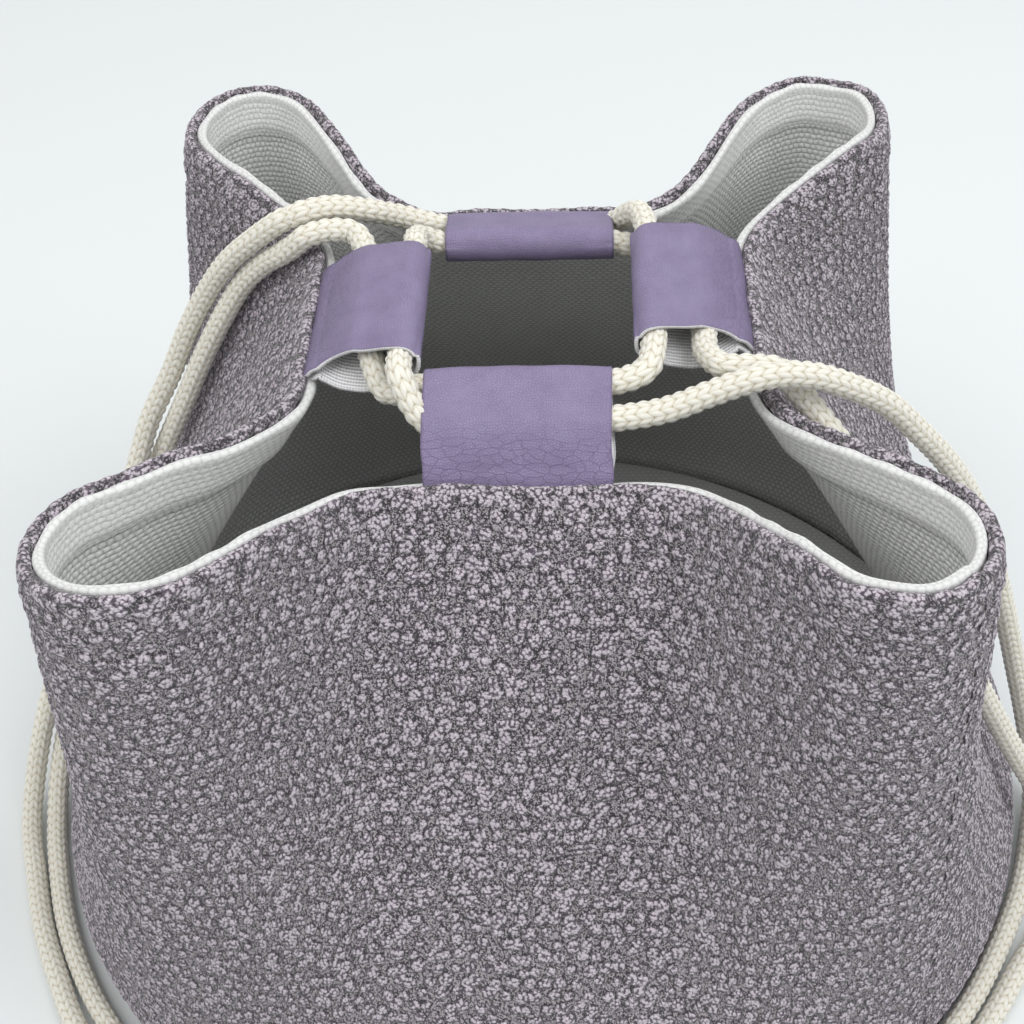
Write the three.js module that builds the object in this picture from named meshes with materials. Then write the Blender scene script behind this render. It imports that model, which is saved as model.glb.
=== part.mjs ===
import * as THREE from 'three';

// Drawstring bag, standing with its mouth drawn in: a round bag whose rim is pulled inwards by four
// loops, so that four lobes of cloth stand out between them. Millimetres, Z up, the origin is the middle
// of the bottom. Front is -Y. Two cords run through all four loops and leave on opposite sides.

// Rim in plan: a straight seam at each loop, a rounded lobe at each corner.
const lobeReachX = 100.5;
const lobeReachY = 104.5;
const lobeRadius = 21;
const lobeFlare = THREE.MathUtils.degToRad(41);
const frontSeamReach = 57.8;
const sideSeamReach = 54.3;
const seamEase = 1;
const seamBend = 20;
const lobeRun = 24;

// Heights of the rim over the floor.
const lobeHeight = 183;
const frontSeamHeight = 172;
const sideSeamHeight = 178;

// Wall: how soon it leaves the round bottom for the shape of the rim, and how it turns in at the bottom.
const wallSwing = 1.35;
const footInset = 6;
const footHeight = 26;

// Layers.
const clothThickness = 3.2;
const liningThickness = 1.5;
const liningHemThickness = 2.8;
const hemDepth = 13;
const hemStep = 1.2;
const layerGap = 0.3;
const sideSeamGap = 0.3;

// Bottom: cloth disc, stiffening board, lining disc.
const baseThickness = 3;
const baseOverhang = 1;
const boardThickness = 2;
const boardInset = 3.5;
const liningBaseInset = 1;
const baseSides = 64;
const baseEdge = 1.2;
const boardEdge = 0.3;
const liningEdge = 0.4;

// Loops: a leather strip folded over, both ends sewn in between the cloth and the lining.
const loopWidth = 44;
const leatherThickness = 1;
const loopLength = 26.5;
const loopTilt = THREE.MathUtils.degToRad(25);
const loopMouth = 7.4;
const loopFlareLength = 9;
const tongueDepth = 8;
const tongueRise = 1.4;
const tongueBend = 4;
const tongueClearance = 0.35;

// Cords.
const cordDiameter = 6;
const cordSides = 10;
const cordSpacing = 13;
const cordGap = 0.3;
const cordOverhang = 0.6;
const bridgeStart = 4;
const bridgeTurn = 8;
const crossingRise = 0.7 * cordDiameter;
const crossingDrop = 0.6 * cordDiameter;
const knotRadius = 9;
const knotHeight = 7;

// The rim's curve in plan.
const seamHalf = loopWidth / 2 + seamEase;

function lobeCurves(sx, sy, outward) {
  // One quarter of the rim in plan, from the side seam's middle to the front or back seam's middle.
  const middle = new THREE.Vector2(sx * (lobeReachX - lobeRadius), sy * (lobeReachY - lobeRadius));
  const sideEnd = new THREE.Vector2(sx * sideSeamReach, sy * seamHalf);
  const frontEnd = new THREE.Vector2(sx * seamHalf, sy * frontSeamReach);
  const sideTangent = new THREE.Vector2(Math.cos(lobeFlare), Math.sin(lobeFlare));
  const frontTangent = new THREE.Vector2(Math.sin(lobeFlare), Math.cos(lobeFlare));
  const sideTouch = new THREE.Vector2(
    middle.x + sx * lobeRadius * sideTangent.y,
    middle.y - sy * lobeRadius * sideTangent.x,
  );
  const frontTouch = new THREE.Vector2(
    middle.x - sx * lobeRadius * frontTangent.y,
    middle.y + sy * lobeRadius * frontTangent.x,
  );
  const sideHandle = new THREE.Vector2(
    sideTouch.x - sx * lobeRun * sideTangent.x,
    sideTouch.y - sy * lobeRun * sideTangent.y,
  );
  const frontHandle = new THREE.Vector2(
    frontTouch.x - sx * lobeRun * frontTangent.x,
    frontTouch.y - sy * lobeRun * frontTangent.y,
  );
  const first = Math.atan2(sideTouch.y - middle.y, sideTouch.x - middle.x);
  const last = Math.atan2(frontTouch.y - middle.y, frontTouch.x - middle.x);
  const curves = [
    new THREE.LineCurve(new THREE.Vector2(sx * sideSeamReach, 0), sideEnd),
    new THREE.CubicBezierCurve(
      sideEnd,
      new THREE.Vector2(sideEnd.x, sideEnd.y + sy * seamBend),
      sideHandle,
      sideTouch,
    ),
    new THREE.EllipseCurve(middle.x, middle.y, lobeRadius, lobeRadius, first, last, sx * sy < 0),
    new THREE.CubicBezierCurve(
      frontTouch,
      frontHandle,
      new THREE.Vector2(frontEnd.x + sx * seamBend, frontEnd.y),
      frontEnd,
    ),
    new THREE.LineCurve(frontEnd, new THREE.Vector2(0, sy * frontSeamReach)),
  ];
  return outward ? curves : reversed(curves);
}

function reversed(curves) {
  return curves.toReversed().map((curve) => {
    if (curve.isLineCurve) {
      return new THREE.LineCurve(curve.v2, curve.v1);
    }
    if (curve.isCubicBezierCurve) {
      return new THREE.CubicBezierCurve(curve.v3, curve.v2, curve.v1, curve.v0);
    }
    return new THREE.EllipseCurve(
      curve.aX, curve.aY, curve.xRadius, curve.yRadius, curve.aEndAngle, curve.aStartAngle, !curve.aClockwise,
    );
  });
}

const rim = new THREE.CurvePath();
rim.curves = [
  ...lobeCurves(1, 1, true),
  ...lobeCurves(-1, 1, false),
  ...lobeCurves(-1, -1, true),
  ...lobeCurves(1, -1, false),
];
const rimLength = rim.getLength();
const bodyRadius = rimLength / (2 * Math.PI);
const quarter = rimLength / 4;
const curveLength = rim.curves.slice(0, 5).map((curve) => curve.getLength());

function rimHeightAt(distance) {
  // Height of the rim a given way along it, lowest at the seams of the loops.
  const turn = ((distance % rimLength) + rimLength) % rimLength;
  const side = Math.floor(turn / quarter) % 4;
  const along = turn - side * quarter;
  const climb = curveLength[1];
  const low = side % 2 === 0 ? sideSeamHeight : frontSeamHeight;
  const next = side % 2 === 0 ? frontSeamHeight : sideSeamHeight;
  const up = THREE.MathUtils.smoothstep(along, seamHalf, seamHalf + climb);
  const down = THREE.MathUtils.smoothstep(quarter - along, seamHalf, seamHalf + climb);
  return along < quarter / 2 ? low + (lobeHeight - low) * up : next + (lobeHeight - next) * down;
}

// The wall's surface.
const wallFoot = baseThickness + layerGap;

function clothPoint(distance, depth) {
  // Point on the outside of the wall, a given way along the cloth and a given way under the rim.
  const turn = distance / rimLength;
  const top = rimHeightAt(distance);
  const z = top - depth;
  const angle = turn * 2 * Math.PI;
  const rimPoint = rim.getPoint(((turn % 1) + 1) % 1);
  const share = Math.pow(Math.max(z, 0) / top, wallSwing);
  const tuck = Math.pow(Math.max(1 - z / footHeight, 0), 2) * footInset;
  const radius = bodyRadius - tuck;
  return new THREE.Vector3(
    THREE.MathUtils.lerp(radius * Math.cos(angle), rimPoint.x, share),
    THREE.MathUtils.lerp(radius * Math.sin(angle), rimPoint.y, share),
    z,
  );
}

function clothNormal(distance, depth) {
  // Outward normal, kept level near the foot so that the layers end on the bottom.
  const step = 0.5;
  const along = clothPoint(distance + step, depth).sub(clothPoint(distance - step, depth));
  const up = clothPoint(distance, depth - step).sub(clothPoint(distance, depth + step));
  const normal = along.cross(up).normalize();
  const z = rimHeightAt(distance) - depth;
  normal.z *= THREE.MathUtils.smoothstep(z, footHeight * 0.5, footHeight * 1.5);
  return normal.normalize();
}

function layerPoint(distance, depth, inset) {
  return clothPoint(distance, depth).addScaledVector(clothNormal(distance, depth), -inset);
}

// Columns of the panels, closer together where the rim turns.
const pocketHalf = loopWidth / 2 + tongueClearance;
const pocketStep = 0.3;
const seamShares = [0.18, 0.36, 0.56, 0.78, 1];
const lobeShares = [0.125, 0.25, 0.375, 0.5, 0.625, 0.75, 0.875, 1];

function quarterColumns() {
  const [line, bend, lobe] = curveLength;
  const out = [pocketHalf, pocketHalf + pocketStep, ...seamShares.map((share) => line + share * bend)];
  out.push(...lobeShares.map((share) => line + bend + share * lobe));
  const back = [pocketHalf, pocketHalf + pocketStep];
  back.push(...seamShares.slice(0, 4).map((share) => line + share * curveLength[3]));
  out.push(...back.toReversed().map((length) => quarter - length));
  return out;
}

const tongueThickness = 2 * leatherThickness;
const pocketRecess = (tongueThickness + 2 * tongueClearance - layerGap) / 2;
const pocketDepth = tongueDepth + tongueClearance;
const wallRows = [
  { share: 0 }, { share: 0.045 }, { share: 0.1 }, { share: 0.17 }, { share: 0.32 },
  { share: 0.5 }, { share: 0.68 }, { share: 0.86 },
  { under: hemDepth }, { under: hemDepth - hemStep, hem: true },
  { under: pocketDepth, hem: true }, { under: pocketDepth - pocketStep, hem: true, pocket: true },
  { under: 0, hem: true, pocket: true },
];

function panelColumns(start) {
  // Way along the cloth of each column of one panel, which runs from side seam to side seam.
  const columns = [start + sideSeamGap / 2];
  for (const corner of [0, 1]) {
    const list = quarterColumns();
    const way = corner === 0 ? list : list.map((length) => quarter - length).toReversed();
    columns.push(...way.map((length) => start + corner * quarter + length));
    columns.push(start + (corner + 1) * quarter - (corner === 1 ? sideSeamGap / 2 : 0));
  }
  return columns;
}

function atSeam(distance) {
  const turn = ((distance % quarter) + quarter) % quarter;
  return Math.min(turn, quarter - turn) < pocketHalf + pocketStep / 2;
}

function panel(start, foot, outerInset, innerInset) {
  // Closed sheet between two insets of the wall, from its foot to the rim. Each row is a share of the wall
  // under the hem, or a way under the rim within it.
  const columns = panelColumns(start);
  const count = wallRows.length;
  const positions = [];
  for (const face of [outerInset, innerInset]) {
    for (const distance of columns) {
      const top = rimHeightAt(distance);
      const wall = top - hemDepth - wallFoot;
      for (const row of wallRows) {
        const lowest = row.share === 0 ? top - foot : hemDepth + wall * (1 - row.share);
        const depth = row.under !== undefined ? row.under : lowest;
        const point = layerPoint(distance, depth, face(row, atSeam(distance)));
        if (row.share === 0) {
          point.z = foot;
        }
        positions.push(point.x, point.y, point.z);
      }
    }
  }
  const side = columns.length * count;
  const index = [];
  const quad = (a, b, c, d) => index.push(a, b, c, a, c, d);
  for (let i = 0; i < columns.length - 1; i += 1) {
    for (let j = 0; j < count - 1; j += 1) {
      const a = i * count + j;
      const b = a + count;
      quad(a, b, b + 1, a + 1);
      quad(side + a, side + a + 1, side + b + 1, side + b);
    }
    const low = i * count;
    const high = low + count - 1;
    quad(low, side + low, side + low + count, low + count);
    quad(high, high + count, side + high + count, side + high);
  }
  for (let j = 0; j < count - 1; j += 1) {
    const end = (columns.length - 1) * count + j;
    quad(j, j + 1, side + j + 1, side + j);
    quad(end, side + end, side + end + 1, end + 1);
  }
  const geometry = new THREE.BufferGeometry();
  geometry.setAttribute('position', new THREE.Float32BufferAttribute(positions, 3));
  geometry.setIndex(index);
  geometry.computeVertexNormals();
  return geometry;
}

const clothOutside = () => 0;
const clothInside = (row, seam) => clothThickness - (row.pocket && seam ? pocketRecess : 0);
const liningOutside = (row, seam) => clothThickness + layerGap + (row.pocket && seam ? pocketRecess : 0);
const liningInside = (row) => (
  clothThickness + layerGap + (row.hem ? liningHemThickness : liningThickness)
);

function loopLine(reach) {
  // Middle of the folded strip in the plane across the wall: x inwards, y up from the outer rim edge, with
  // the half thickness of the pair of layers at each point.
  const seamMiddle = clothThickness + layerGap / 2;
  const foot = clothPoint(reach, hemDepth);
  const top = clothPoint(reach, 0);
  const lean = Math.atan2(Math.hypot(foot.x - top.x, foot.y - top.y), top.z - foot.z);
  const wall = new THREE.Vector2(Math.sin(lean), Math.cos(lean));
  const across = new THREE.Vector2(wall.y, -wall.x);
  const root = across.clone().multiplyScalar(seamMiddle);
  const points = [];
  const add = (point, direction, half) => points.push({ point, direction, half });
  add(root.clone().addScaledVector(wall, -tongueDepth), wall, leatherThickness);
  add(root.clone().addScaledVector(wall, tongueRise), wall, leatherThickness);
  const start = Math.PI / 2 - lean;
  const turn = start - loopTilt;
  const centre = points[1].point.clone().addScaledVector(across, tongueBend);
  const steps = 4;
  for (let i = 1; i <= steps; i += 1) {
    const angle = start - (turn * i) / steps;
    const direction = new THREE.Vector2(Math.cos(angle), Math.sin(angle));
    const point = centre.clone().add(new THREE.Vector2(-direction.y, direction.x).multiplyScalar(tongueBend));
    add(point, direction, leatherThickness);
  }
  return points;
}

const mouthHalf = loopMouth / 2;
const foldMiddle = loopLength - leatherThickness - mouthHalf;

// Ways along a loop at which its two layers are drawn, as shares of the length in which they part.
const mouthStartShare = 0.18;
const mouthShares = [0.22, 0.39, 0.56, 0.72, 0.89, 1.11];

function loopHalf(along) {
  return mouthHalf * THREE.MathUtils.smoothstep(along, 0, loopFlareLength);
}

function loopShape(seam) {
  const line = loopLine(seam);
  const root = line[line.length - 1];
  const forward = new THREE.Vector2(Math.cos(loopTilt), Math.sin(loopTilt));
  const up = new THREE.Vector2(-forward.y, forward.x);
  const at = (along, off) => root.point.clone().addScaledVector(forward, along).addScaledVector(up, off);
  const upper = [];
  const lower = [];
  for (const { point, direction, half } of line) {
    const normal = new THREE.Vector2(-direction.y, direction.x);
    upper.push(point.clone().addScaledVector(normal, half));
    lower.push(point.clone().addScaledVector(normal, -half));
  }
  const ways = [...mouthShares.map((share) => share * loopFlareLength), foldMiddle];
  for (const along of ways) {
    upper.push(at(along, loopHalf(along) + leatherThickness));
    lower.push(at(along, -loopHalf(along) - leatherThickness));
  }
  const fold = (radius) => {
    const points = [];
    for (let i = 1; i < 8; i += 1) {
      const angle = Math.PI / 2 - (Math.PI * i) / 8;
      points.push(at(foldMiddle + radius * Math.cos(angle), radius * Math.sin(angle)));
    }
    return points;
  };
  const over = [...upper, ...fold(mouthHalf + leatherThickness), ...lower.toReversed()];
  const mouthWays = ways.slice(1);
  const mouth = [
    at(mouthStartShare * loopFlareLength, 0),
    ...mouthWays.map((along) => at(along, loopHalf(along))),
    ...fold(mouthHalf),
    ...mouthWays.toReversed().map((along) => at(along, -loopHalf(along))),
  ];
  const shape = new THREE.Shape(over.toReversed());
  shape.holes.push(new THREE.Path(mouth));
  return { shape, at };
}

function seamFrame(side) {
  // Placing of a loop: x inwards, y up and z along the seam.
  const middle = clothPoint(side * quarter, 0);
  const inward = new THREE.Vector3(-middle.x, -middle.y, 0).normalize();
  const up = new THREE.Vector3(0, 0, 1);
  const along = inward.clone().cross(up);
  return new THREE.Matrix4().makeBasis(inward, up, along).setPosition(middle);
}

function loop(side) {
  const { shape } = loopShape(side * quarter);
  const geometry = new THREE.ExtrudeGeometry(shape, { depth: loopWidth, bevelEnabled: false, steps: 1 });
  geometry.translate(0, 0, -loopWidth / 2);
  geometry.applyMatrix4(seamFrame(side));
  return geometry;
}

const cordSection = new THREE.Shape(
  Array.from({ length: cordSides }, (_, i) => {
    const angle = (i / cordSides) * 2 * Math.PI;
    return new THREE.Vector2(Math.cos(angle), Math.sin(angle)).multiplyScalar(cordDiameter / 2);
  }),
);

function tube(curve, steps) {
  return new THREE.ExtrudeGeometry(cordSection, { extrudePath: curve, steps, bevelEnabled: false });
}

const foldSlot = foldMiddle;
const rootSlot = foldMiddle - cordSpacing;
const runHalf = loopWidth / 2 + cordOverhang;

function slotPoint(side, slot, way) {
  const { at } = loopShape(side * quarter);
  const local = at(slot, 0);
  return new THREE.Vector3(local.x, local.y, way).applyMatrix4(seamFrame(side));
}

function cordInLoop(side, slot) {
  return tube(new THREE.LineCurve3(slotPoint(side, slot, -runHalf), slotPoint(side, slot, runHalf)), 1);
}

function bridge(from, to, lift) {
  // A cord's free stretch from one loop to the next. Each end is [side, slot, direction along its seam].
  const at = ([side, slot, sign], way) => slotPoint(side, slot, sign * (runHalf + cordGap + way));
  const middle = at(from, bridgeTurn).add(at(to, bridgeTurn)).multiplyScalar(0.5);
  middle.z += lift;
  const points = [at(from, 0), at(from, bridgeStart), middle, at(to, bridgeStart), at(to, 0)];
  return tube(new THREE.CatmullRomCurve3(points), 6);
}

// Free stretches of the cords, as they lie: over the rim, down the drawn-in sides, along the floor round
// the foot of the bag and into one knot for each cord in front of it.
const freeCords = [
  ['cord_a_back_loop_over_rim', 5, [
    [-22.9, 44.7, 176.2], [-26.9, 44.7, 176.4], [-33.5, 43.6, 178.8], [-42, 39.8, 183.4],
    [-51, 37, 186.4], [-58.18, 34.88, 186.39], [-60.97, 34.81, 185.29],
  ]],
  ['cord_a_left_loop_over_rim', 6, [
    [-41.2, 22.9, 182.2], [-41.3, 25.6, 182.3], [-44.5, 29, 183.3], [-50.5, 30, 183.7],
    [-57, 29.8, 182.3], [-61, 31.44, 178.29], [-63.03, 32.51, 176.36],
  ]],
  ['cord_b_front_loop_over_rim', 5, [
    [22.9, -44.7, 176.2], [26.9, -44.7, 176.4], [33.5, -43.6, 178.8], [42, -40.2, 183.4],
    [51, -38, 186.6], [58.12, -36.66, 186.82], [60.96, -36.05, 186.06],
  ]],
  ['cord_b_right_loop_over_rim', 6, [
    [41.2, -22.9, 182.2], [41.3, -25.6, 182.3], [44.5, -29, 183.3], [50.5, -30, 183.7],
    [57, -29.8, 182.3], [60.87, -30.67, 177.98], [62.84, -31.71, 175.97],
  ]],
  ['cord_a_tail_from_back', 13, [
    [-61.43, 34.79, 185.11], [-64.22, 34.72, 184.01], [-71, 36.5, 178.5], [-81.7, 40.5, 167.5],
    [-90.8, 44.4, 154], [-98.7, 45.8, 140], [-106, 45.2, 125], [-114.5, 41, 110], [-121, 32.5, 94],
    [-132, 24, 74], [-144.5, 13, 51], [-154.5, -1, 27], [-158.8, -14.5, 10], [-158, -28.5, 3.6],
    [-152.6, -45.8, 3.4], [-146.2, -64.2, 3.4], [-138.2, -80.8, 3.4], [-128.6, -97.8, 3.4],
    [-114.6, -113, 3.4], [-98.8, -128.2, 3.4], [-81.6, -142.2, 3.4], [-66, -151, 3.9],
    [-57.2, -156.7, 4.6],
  ]],
  ['cord_a_tail_from_left', 13, [
    [-63.37, 32.69, 176.04], [-65.4, 33.76, 174.11], [-71, 37.2, 169], [-78.7, 40.6, 160.2],
    [-86.4, 42, 148], [-94.7, 42.6, 133], [-102.6, 42.2, 117.3], [-111, 41, 101], [-121.5, 36, 81],
    [-133, 27, 57], [-144.5, 12, 34], [-151, -9, 13], [-150.2, -27, 4], [-146.8, -41, 3.4],
    [-139.8, -62, 3.4], [-131.2, -79.5, 3.4], [-120.5, -95.5, 3.4], [-106.3, -110.6, 3.4],
    [-90, -124.5, 3.4], [-73, -136, 3.4], [-59, -144.5, 3.8], [-51.3, -150.8, 4.6],
  ]],
  ['cord_b_tail_from_front', 13, [
    [61.44, -35.95, 185.94], [64.28, -35.34, 185.18], [72, -33.5, 181], [83, -30, 172.5],
    [93, -26.5, 160.5], [103, -22, 146.5], [112.5, -17.5, 130], [121.5, -13.5, 109],
    [130.5, -10.5, 84], [139.5, -8.5, 56], [147.5, -8, 30], [152.5, -11, 11], [151.5, -22, 4],
    [149.3, -30, 3.4], [143.2, -48.5, 3.4], [133.9, -67.8, 3.4], [122.2, -87.3, 3.4],
    [108, -105, 3.4], [92, -120, 3.4], [75, -132.5, 3.4], [60, -142, 3.8], [51.3, -150.8, 4.6],
  ]],
  ['cord_b_tail_from_right', 13, [
    [63.16, -31.89, 175.63], [65.13, -32.93, 173.62], [71, -37.2, 168], [78.7, -41.2, 159],
    [86.4, -42.8, 147.4], [94.7, -44.4, 133], [103.2, -45.5, 117], [112, -45, 99],
    [122.5, -42.5, 77], [135, -39.5, 52], [147.5, -37.5, 28], [156.5, -40, 9], [158, -47, 3.8],
    [150, -60, 3.4], [138, -76, 3.4], [127.4, -91.9, 3.4], [113, -110, 3.4], [97, -125, 3.4],
    [80, -139, 3.4], [66, -149.5, 3.9], [57.2, -156.7, 4.6],
  ]],
];

function freeCord(steps, points) {
  return tube(new THREE.CatmullRomCurve3(points.map((point) => new THREE.Vector3(...point))), steps);
}

// The four sides, in their order round the rim.
const RIGHT = 0;
const BACK = 1;
const LEFT = 2;
const FRONT = 3;

const bag = new THREE.Group();
bag.name = 'drawstring_bag';

function addMesh(name, geometry, colour, roughness, metalness) {
  const material = new THREE.MeshStandardMaterial({ color: colour, roughness, metalness });
  const mesh = new THREE.Mesh(geometry, material);
  mesh.name = name;
  bag.add(mesh);
}

const clothColour = 0x7d7385;
const liningColour = 0xbfc0bd;
const leatherColour = 0x5b4472;
const cordColour = 0xe3dcc6;
const boardColour = 0x8d8a84;

addMesh('outer_back_panel', panel(0, wallFoot, clothOutside, clothInside), clothColour, 0.95, 0);
addMesh(
  'outer_front_panel',
  panel(2 * quarter, wallFoot, clothOutside, clothInside),
  clothColour, 0.95, 0,
);

const boardTop = baseThickness + layerGap + boardThickness;
const liningFloor = boardTop + layerGap;
const liningFoot = liningFloor + liningThickness + layerGap;
addMesh(
  'lining_back_panel',
  panel(0, liningFoot, liningOutside, liningInside),
  liningColour, 0.9, 0,
);
addMesh(
  'lining_front_panel',
  panel(2 * quarter, liningFoot, liningOutside, liningInside),
  liningColour, 0.9, 0,
);

function disc(radius, low, thickness, softness) {
  const half = Math.min(softness, thickness / 2 - 0.01);
  const profile = [
    new THREE.Vector2(0, low),
    new THREE.Vector2(radius - half, low),
    new THREE.Vector2(radius, low + half),
    new THREE.Vector2(radius, low + thickness - half),
    new THREE.Vector2(radius - half, low + thickness),
    new THREE.Vector2(0, low + thickness),
  ];
  return new THREE.LatheGeometry(profile, baseSides).rotateX(Math.PI / 2);
}

const footRadius = bodyRadius - footInset * Math.pow(1 - wallFoot / footHeight, 2);
const boardRadius = footRadius - clothThickness - boardInset;
addMesh(
  'outer_base',
  disc(footRadius + baseOverhang, 0, baseThickness, baseEdge),
  clothColour, 0.95, 0,
);
addMesh(
  'base_board',
  disc(boardRadius, baseThickness + layerGap, boardThickness, boardEdge),
  boardColour, 0.8, 0,
);
addMesh(
  'lining_base',
  disc(boardRadius + liningBaseInset, liningFloor, liningThickness, liningEdge),
  liningColour, 0.9, 0,
);

const loopNames = ['loop_right', 'loop_back', 'loop_left', 'loop_front'];
loopNames.forEach((name, side) => addMesh(name, loop(side), leatherColour, 0.5, 0));

// Cord A leaves between the back and left loops, cord B between the right and front loops.
const runs = [
  ['cord_a_in_back_loop', BACK, rootSlot],
  ['cord_a_in_right_loop', RIGHT, foldSlot],
  ['cord_a_in_front_loop', FRONT, foldSlot],
  ['cord_a_in_left_loop', LEFT, rootSlot],
  ['cord_b_in_right_loop', RIGHT, rootSlot],
  ['cord_b_in_back_loop', BACK, foldSlot],
  ['cord_b_in_left_loop', LEFT, foldSlot],
  ['cord_b_in_front_loop', FRONT, rootSlot],
];
for (const [name, side, slot] of runs) {
  addMesh(name, cordInLoop(side, slot), cordColour, 0.85, 0);
}

// Each end is a loop, a slot in it and the end of its seam: -1 is met first on the way round the rim.
const bridges = [
  ['cord_a_right_to_back', [RIGHT, foldSlot, 1], [BACK, rootSlot, -1], crossingRise],
  ['cord_b_right_to_back', [RIGHT, rootSlot, 1], [BACK, foldSlot, -1], -crossingDrop],
  ['cord_b_back_to_left', [BACK, foldSlot, 1], [LEFT, foldSlot, -1], 0],
  ['cord_a_left_to_front', [LEFT, rootSlot, 1], [FRONT, foldSlot, -1], -crossingDrop],
  ['cord_b_left_to_front', [LEFT, foldSlot, 1], [FRONT, rootSlot, -1], crossingRise],
  ['cord_a_front_to_right', [FRONT, foldSlot, 1], [RIGHT, foldSlot, -1], 0],
];
for (const [name, from, to, lift] of bridges) {
  addMesh(name, bridge(from, to, lift), cordColour, 0.85, 0);
}

for (const [name, steps, points] of freeCords) {
  addMesh(name, freeCord(steps, points), cordColour, 0.85, 0);
}

const knotPlaces = { cord_a_knot: [-47.5, -160], cord_b_knot: [47.5, -160] };
for (const [name, [x, y]] of Object.entries(knotPlaces)) {
  const knot = new THREE.SphereGeometry(knotRadius, 16, 10).rotateX(Math.PI / 2);
  knot.scale(1, 1, knotHeight / knotRadius).translate(x, y, knotHeight + cordGap);
  addMesh(name, knot, cordColour, 0.85, 0);
}

export default bag;
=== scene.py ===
import math

import bmesh
import bpy
import numpy as np
from mathutils import Matrix, Vector
from mathutils.kdtree import KDTree


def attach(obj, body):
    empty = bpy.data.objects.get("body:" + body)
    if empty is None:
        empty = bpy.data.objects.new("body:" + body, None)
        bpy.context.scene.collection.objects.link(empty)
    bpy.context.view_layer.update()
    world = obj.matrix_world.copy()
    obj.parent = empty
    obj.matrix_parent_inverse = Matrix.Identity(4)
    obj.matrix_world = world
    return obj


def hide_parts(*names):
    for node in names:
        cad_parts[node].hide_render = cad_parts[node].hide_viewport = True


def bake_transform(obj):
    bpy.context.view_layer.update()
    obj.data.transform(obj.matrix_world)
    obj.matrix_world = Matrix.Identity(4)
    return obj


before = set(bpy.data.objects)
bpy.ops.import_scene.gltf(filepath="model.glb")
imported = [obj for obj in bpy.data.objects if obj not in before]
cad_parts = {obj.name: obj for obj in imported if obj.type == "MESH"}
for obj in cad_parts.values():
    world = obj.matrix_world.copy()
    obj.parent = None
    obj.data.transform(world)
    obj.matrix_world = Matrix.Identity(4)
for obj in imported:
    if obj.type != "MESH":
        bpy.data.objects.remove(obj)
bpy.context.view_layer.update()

# Camera: it looks down on the bag from in front, at about 43 degrees, turned a little to the left and
# rolled slightly, with the lens that makes the loops and the lobes of the mouth fall where they do.
pitch, yaw, roll = 0.748, -0.060, -0.0487
cp, sp, cr, sr = math.cos(pitch), math.sin(pitch), math.cos(roll), math.sin(roll)
turn_to_bag = Matrix.Rotation(-yaw, 3, "Z")
axes = [(cr, sr * sp, sr * cp), (-sr, cr * sp, cr * cp), (0, -cp, sp)]
placing = Matrix([turn_to_bag @ Vector(axis) for axis in axes]).transposed().to_4x4()
camera = bpy.data.objects.new("camera", bpy.data.cameras.new("camera"))
bpy.context.collection.objects.link(camera)
placing.translation = (0.015744, -0.345687, 0.431429)
camera.matrix_world = placing
camera.data.lens = 1700.1 / 1024 * 36
bpy.context.scene.camera = camera

# Wall of the bag: one tube of cloth, wider at the bottom, whose rim is drawn inwards at four seams so that
# four lobes stand out between them. These sizes are those of the solids, in metres.
lobe_reach = np.array([0.1005, 0.1045])
lobe_radius = 0.021
lobe_flare = math.radians(41)
front_reach, side_reach, seam_half = 0.0578, 0.0543, 0.023
seam_bend, lobe_run = 0.020, 0.024
lobe_height, front_height, side_height = 0.183, 0.172, 0.178
wall_swing, foot_inset, foot_height = 1.35, 0.006, 0.026
hem_depth = 0.013
slide_reach = 0.090
sides = ["right", "back", "left", "front"]


def bend_line(a, b, c, d):
    t = np.linspace(0, 1, 300)[:, None]
    return (1 - t) ** 3 * a + 3 * (1 - t) ** 2 * t * b + 3 * (1 - t) * t**2 * c + t**3 * d


middle = lobe_reach - lobe_radius
side_way = np.array([math.cos(lobe_flare), math.sin(lobe_flare)])
front_way = side_way[::-1]
side_touch = middle + lobe_radius * np.array([side_way[1], -side_way[0]])
front_touch = middle + lobe_radius * np.array([-front_way[1], front_way[0]])
side_end = np.array([side_reach, seam_half])
front_end = np.array([seam_half, front_reach])
side_curve = bend_line(side_end, side_end + [0, seam_bend], side_touch - lobe_run * side_way, side_touch)
front_curve = bend_line(front_touch, front_touch - lobe_run * front_way, front_end + [seam_bend, 0], front_end)
first = math.atan2(*(side_touch - middle)[::-1])
last = math.atan2(*(front_touch - middle)[::-1])
arc = np.linspace(first, last, 200)[:, None]
tip_curve = middle + lobe_radius * np.hstack([np.cos(arc), np.sin(arc)])
corner = np.vstack([[[side_reach, 0]], side_curve, tip_curve, front_curve, [[0, front_reach]]])
rim_line = np.vstack([corner, corner[::-1] * [-1, 1], corner * [-1, -1], corner[::-1] * [1, -1]])
lobe_leans = {
    (1, 1): (0.0005, -0.001, 0.0038), (-1, 1): (0.0035, 0.000, 0.0036),
    (-1, -1): (-0.0065, -0.0010, 0), (1, -1): (0.0028, -0.0008, 0),
}
right_seam_lean = 0.0042
rim_way = np.concatenate([[0], np.cumsum(np.linalg.norm(np.diff(rim_line, axis=0), axis=1))])
rim_length = rim_way[-1]
body_radius = rim_length / (2 * math.pi)
quarter = rim_length / 4
climb = float(np.linalg.norm(np.diff(side_curve, axis=0), axis=1).sum())
tip_way = seam_half + climb + float(np.linalg.norm(np.diff(tip_curve, axis=0), axis=1).sum()) / 2


def ease(x, low, high):
    t = np.clip((x - low) / (high - low), 0, 1)
    return t * t * (3 - 2 * t)


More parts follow.
